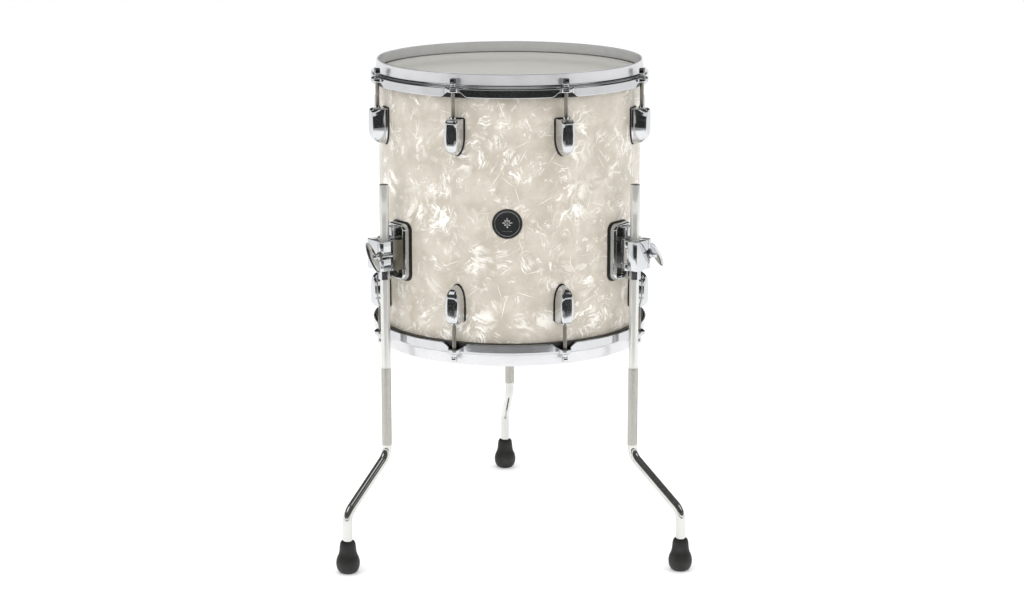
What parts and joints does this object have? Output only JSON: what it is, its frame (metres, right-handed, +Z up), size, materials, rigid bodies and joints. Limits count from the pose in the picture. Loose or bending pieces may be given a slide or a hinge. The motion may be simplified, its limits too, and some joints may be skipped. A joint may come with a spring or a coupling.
{
  "type": "floor tom drum",
  "caption": "Deep cylindrical drum with tensioned heads under steel hoops, standing on three bent legs that slide and turn in clamp brackets.",
  "frame": {"origin": "on the floor under the drum's axis", "axes": "+Z up along the drum's axis, -Y to the front, where the badge is, +X to the right seen from the front"},
  "size_m": [0.4767, 0.5151, 0.6674],
  "materials": {
    "shell_wood": "satin clear coat",
    "pearl_wrap": "glossy cream pearl",
    "badge_black": "gloss with a bright ring",
    "chrome_plate": "polished",
    "steel_plain": "plain zinc-plated steel",
    "drum_film": "smooth coated film",
    "hoop_alloy": "mill finish",
    "gasket_rubber": "matt",
    "leg_chrome": "polished, with a knurled satin stretch",
    "foot_rubber": "matt"
  },
  "bodies": {
    "drum": {"shell": "shell_wood", "wrap": "pearl_wrap", "badge": "badge_black", "vent_grommet": "chrome_plate", "batter_lugs": "chrome_plate", "resonant_lugs": "chrome_plate", "lug_gaskets": "gasket_rubber", "lug_inserts": "steel_plain", "lug_screws": "steel_plain", "lug_screw_washers": "steel_plain", "bracket_bases": "chrome_plate", "bracket_gaskets": "gasket_rubber", "bracket_screws": "steel_plain", "bracket_screw_washers": "steel_plain", "jaw_pins": "steel_plain"},
    "batter_head": {"batter_film": "drum_film", "batter_flesh_hoop": "hoop_alloy", "batter_hoop": "chrome_plate", "batter_rod_washers": "steel_plain"},
    "batter_rod_1": {"batter_rod_1": "chrome_plate"},
    "batter_rod_2": {"batter_rod_2": "chrome_plate"},
    "batter_rod_3": {"batter_rod_3": "chrome_plate"},
    "batter_rod_4": {"batter_rod_4": "chrome_plate"},
    "batter_rod_5": {"batter_rod_5": "chrome_plate"},
    "batter_rod_6": {"batter_rod_6": "chrome_plate"},
    "batter_rod_7": {"batter_rod_7": "chrome_plate"},
    "batter_rod_8": {"batter_rod_8": "chrome_plate"},
    "resonant_head": {"resonant_film": "drum_film", "resonant_flesh_hoop": "hoop_alloy", "resonant_hoop": "chrome_plate", "resonant_rod_washers": "steel_plain"},
    "resonant_rod_1": {"resonant_rod_1": "chrome_plate"},
    "resonant_rod_2": {"resonant_rod_2": "chrome_plate"},
    "resonant_rod_3": {"resonant_rod_3": "chrome_plate"},
    "resonant_rod_4": {"resonant_rod_4": "chrome_plate"},
    "resonant_rod_5": {"resonant_rod_5": "chrome_plate"},
    "resonant_rod_6": {"resonant_rod_6": "chrome_plate"},
    "resonant_rod_7": {"resonant_rod_7": "chrome_plate"},
    "resonant_rod_8": {"resonant_rod_8": "chrome_plate"},
    "clamp_jaw_left": {"clamp_jaw_left": "chrome_plate"},
    "wing_washer_left": {"wing_washer_left": "steel_plain"},
    "wing_screw_left": {"wing_screw_left": "chrome_plate"},
    "memory_lock_left": {"memory_lock_left": "chrome_plate", "lock_screw_left": "steel_plain"},
    "leg_left": {"leg_left": "leg_chrome", "foot_left": "foot_rubber"},
    "clamp_jaw_right": {"clamp_jaw_right": "chrome_plate"},
    "wing_washer_right": {"wing_washer_right": "steel_plain"},
    "wing_screw_right": {"wing_screw_right": "chrome_plate"},
    "memory_lock_right": {"memory_lock_right": "chrome_plate", "lock_screw_right": "steel_plain"},
    "leg_right": {"leg_right": "leg_chrome", "foot_right": "foot_rubber"},
    "clamp_jaw_rear": {"clamp_jaw_rear": "chrome_plate"},
    "wing_washer_rear": {"wing_washer_rear": "steel_plain"},
    "wing_screw_rear": {"wing_screw_rear": "chrome_plate"},
    "memory_lock_rear": {"memory_lock_rear": "chrome_plate", "lock_screw_rear": "steel_plain"},
    "leg_rear": {"leg_rear": "leg_chrome", "foot_rear": "foot_rubber"}
  },
  "joints": [
    {"name": "batter_head_travel", "type": "slide", "parent": "drum", "child": "batter_head", "axis": [0, 0, 1], "range_m": [0, 0.012]},
    {"name": "batter_rod_1_spin", "type": "hinge", "parent": "batter_head", "child": "batter_rod_1", "pos_m": [0.07271, -0.17554, 0.6242], "axis": [0, 0, 1], "range_deg": [0, 4084]},
    {"name": "batter_rod_2_spin", "type": "hinge", "parent": "batter_head", "child": "batter_rod_2", "pos_m": [0.17554, -0.07271, 0.6242], "axis": [0, 0, 1], "range_deg": [0, 4084]},
    {"name": "batter_rod_3_spin", "type": "hinge", "parent": "batter_head", "child": "batter_rod_3", "pos_m": [0.17554, 0.07271, 0.6242], "axis": [0, 0, 1], "range_deg": [0, 4084]},
    {"name": "batter_rod_4_spin", "type": "hinge", "parent": "batter_head", "child": "batter_rod_4", "pos_m": [0.07271, 0.17554, 0.6242], "axis": [0, 0, 1], "range_deg": [0, 4084]},
    {"name": "batter_rod_5_spin", "type": "hinge", "parent": "batter_head", "child": "batter_rod_5", "pos_m": [-0.07271, 0.17554, 0.6242], "axis": [0, 0, 1], "range_deg": [0, 4084]},
    {"name": "batter_rod_6_spin", "type": "hinge", "parent": "batter_head", "child": "batter_rod_6", "pos_m": [-0.17554, 0.07271, 0.6242], "axis": [0, 0, 1], "range_deg": [0, 4084]},
    {"name": "batter_rod_7_spin", "type": "hinge", "parent": "batter_head", "child": "batter_rod_7", "pos_m": [-0.17554, -0.07271, 0.6242], "axis": [0, 0, 1], "range_deg": [0, 4084]},
    {"name": "batter_rod_8_spin", "type": "hinge", "parent": "batter_head", "child": "batter_rod_8", "pos_m": [-0.07271, -0.17554, 0.6242], "axis": [0, 0, 1], "range_deg": [0, 4084]},
    {"name": "resonant_head_travel", "type": "slide", "parent": "drum", "child": "resonant_head", "axis": [0, 0, -1], "range_m": [0, 0.012]},
    {"name": "resonant_rod_1_spin", "type": "hinge", "parent": "resonant_head", "child": "resonant_rod_1", "pos_m": [0.07271, -0.17554, 0.3242], "axis": [0, 0, -1], "range_deg": [0, 4084]},
    {"name": "resonant_rod_2_spin", "type": "hinge", "parent": "resonant_head", "child": "resonant_rod_2", "pos_m": [0.17554, -0.07271, 0.3242], "axis": [0, 0, -1], "range_deg": [0, 4084]},
    {"name": "resonant_rod_3_spin", "type": "hinge", "parent": "resonant_head", "child": "resonant_rod_3", "pos_m": [0.17554, 0.07271, 0.3242], "axis": [0, 0, -1], "range_deg": [0, 4084]},
    {"name": "resonant_rod_4_spin", "type": "hinge", "parent": "resonant_head", "child": "resonant_rod_4", "pos_m": [0.07271, 0.17554, 0.3242], "axis": [0, 0, -1], "range_deg": [0, 4084]},
    {"name": "resonant_rod_5_spin", "type": "hinge", "parent": "resonant_head", "child": "resonant_rod_5", "pos_m": [-0.07271, 0.17554, 0.3242], "axis": [0, 0, -1], "range_deg": [0, 4084]},
    {"name": "resonant_rod_6_spin", "type": "hinge", "parent": "resonant_head", "child": "resonant_rod_6", "pos_m": [-0.17554, 0.07271, 0.3242], "axis": [0, 0, -1], "range_deg": [0, 4084]},
    {"name": "resonant_rod_7_spin", "type": "hinge", "parent": "resonant_head", "child": "resonant_rod_7", "pos_m": [-0.17554, -0.07271, 0.3242], "axis": [0, 0, -1], "range_deg": [0, 4084]},
    {"name": "resonant_rod_8_spin", "type": "hinge", "parent": "resonant_head", "child": "resonant_rod_8", "pos_m": [-0.07271, -0.17554, 0.3242], "axis": [0, 0, -1], "range_deg": [0, 4084]},
    {"name": "wing_left_turn", "type": "hinge", "parent": "wing_washer_left", "child": "wing_screw_left", "pos_m": [-0.1745, -0.14261, 0.4205], "axis": [-0.809, -0.5878, 0], "range_deg": [0, 1654]},
    {"name": "wing_left_back_off", "type": "slide", "parent": "drum", "child": "wing_washer_left", "axis": [-0.809, -0.5878, 0], "range_m": [0, 0.00583]},
    {"name": "clamp_jaw_left_swing", "type": "hinge", "parent": "drum", "child": "clamp_jaw_left", "pos_m": [-0.17165, -0.10741, 0.4205], "axis": [0, 0, -1], "range_deg": [0, 10.02]},
    {"name": "leg_left_height", "type": "slide", "parent": "drum", "child": "memory_lock_left", "axis": [0, 0, 1], "range_m": [-0.07, 0]},
    {"name": "leg_left_turn", "type": "hinge", "parent": "memory_lock_left", "child": "leg_left", "pos_m": [-0.16585, -0.1205, 0.393], "axis": [0, 0, 1], "continuous": true},
    {"name": "wing_right_turn", "type": "hinge", "parent": "wing_washer_right", "child": "wing_screw_right", "pos_m": [0.18955, -0.1219, 0.4205], "axis": [0.809, -0.5878, 0], "range_deg": [0, 1654]},
    {"name": "wing_right_back_off", "type": "slide", "parent": "drum", "child": "wing_washer_right", "axis": [0.809, -0.5878, 0], "range_m": [0, 0.00583]},
    {"name": "clamp_jaw_right_swing", "type": "hinge", "parent": "drum", "child": "clamp_jaw_right", "pos_m": [0.15519, -0.13006, 0.4205], "axis": [0, 0, -1], "range_deg": [0, 10.02]},
    {"name": "leg_right_height", "type": "slide", "parent": "drum", "child": "memory_lock_right", "axis": [0, 0, 1], "range_m": [-0.07, 0]},
    {"name": "leg_right_turn", "type": "hinge", "parent": "memory_lock_right", "child": "leg_right", "pos_m": [0.16585, -0.1205, 0.393], "axis": [0, 0, 1], "continuous": true},
    {"name": "wing_rear_turn", "type": "hinge", "parent": "wing_washer_rear", "child": "wing_screw_rear", "pos_m": [-0.0128, 0.225, 0.4205], "axis": [0, 1, 0], "range_deg": [0, 1654]},
    {"name": "wing_rear_back_off", "type": "slide", "parent": "drum", "child": "wing_washer_rear", "axis": [0, 1, 0], "range_m": [0, 0.00583]},
    {"name": "clamp_jaw_rear_swing", "type": "hinge", "parent": "drum", "child": "clamp_jaw_rear", "pos_m": [0.014, 0.202, 0.4205], "axis": [0, 0, -1], "range_deg": [0, 10.02]},
    {"name": "leg_rear_height", "type": "slide", "parent": "drum", "child": "memory_lock_rear", "axis": [0, 0, 1], "range_m": [-0.07, 0]},
    {"name": "leg_rear_turn", "type": "hinge", "parent": "memory_lock_rear", "child": "leg_rear", "pos_m": [0, 0.205, 0.393], "axis": [0, 0, 1], "continuous": true}
  ],
  "couplings": [
    {"joint": "batter_rod_1_spin", "follows": "batter_head_travel", "rad_per_m": 5938.7},
    {"joint": "batter_rod_2_spin", "follows": "batter_head_travel", "rad_per_m": 5938.7},
    {"joint": "batter_rod_3_spin", "follows": "batter_head_travel", "rad_per_m": 5938.7},
    {"joint": "batter_rod_4_spin", "follows": "batter_head_travel", "rad_per_m": 5938.7},
    {"joint": "batter_rod_5_spin", "follows": "batter_head_travel", "rad_per_m": 5938.7},
    {"joint": "batter_rod_6_spin", "follows": "batter_head_travel", "rad_per_m": 5938.7},
    {"joint": "batter_rod_7_spin", "follows": "batter_head_travel", "rad_per_m": 5938.7},
    {"joint": "batter_rod_8_spin", "follows": "batter_head_travel", "rad_per_m": 5938.7},
    {"joint": "resonant_rod_1_spin", "follows": "resonant_head_travel", "rad_per_m": 5938.7},
    {"joint": "resonant_rod_2_spin", "follows": "resonant_head_travel", "rad_per_m": 5938.7},
    {"joint": "resonant_rod_3_spin", "follows": "resonant_head_travel", "rad_per_m": 5938.7},
    {"joint": "resonant_rod_4_spin", "follows": "resonant_head_travel", "rad_per_m": 5938.7},
    {"joint": "resonant_rod_5_spin", "follows": "resonant_head_travel", "rad_per_m": 5938.7},
    {"joint": "resonant_rod_6_spin", "follows": "resonant_head_travel", "rad_per_m": 5938.7},
    {"joint": "resonant_rod_7_spin", "follows": "resonant_head_travel", "rad_per_m": 5938.7},
    {"joint": "resonant_rod_8_spin", "follows": "resonant_head_travel", "rad_per_m": 5938.7},
    {"joint": "wing_left_turn", "follows": "wing_left_back_off", "rad_per_m": 4947.4},
    {"joint": "clamp_jaw_left_swing", "follows": "wing_left_back_off", "rad_per_m": 29.948},
    {"joint": "wing_right_turn", "follows": "wing_right_back_off", "rad_per_m": 4947.4},
    {"joint": "clamp_jaw_right_swing", "follows": "wing_right_back_off", "rad_per_m": 29.948},
    {"joint": "wing_rear_turn", "follows": "wing_rear_back_off", "rad_per_m": 4947.4},
    {"joint": "clamp_jaw_rear_swing", "follows": "wing_rear_back_off", "rad_per_m": 29.948}
  ]
}
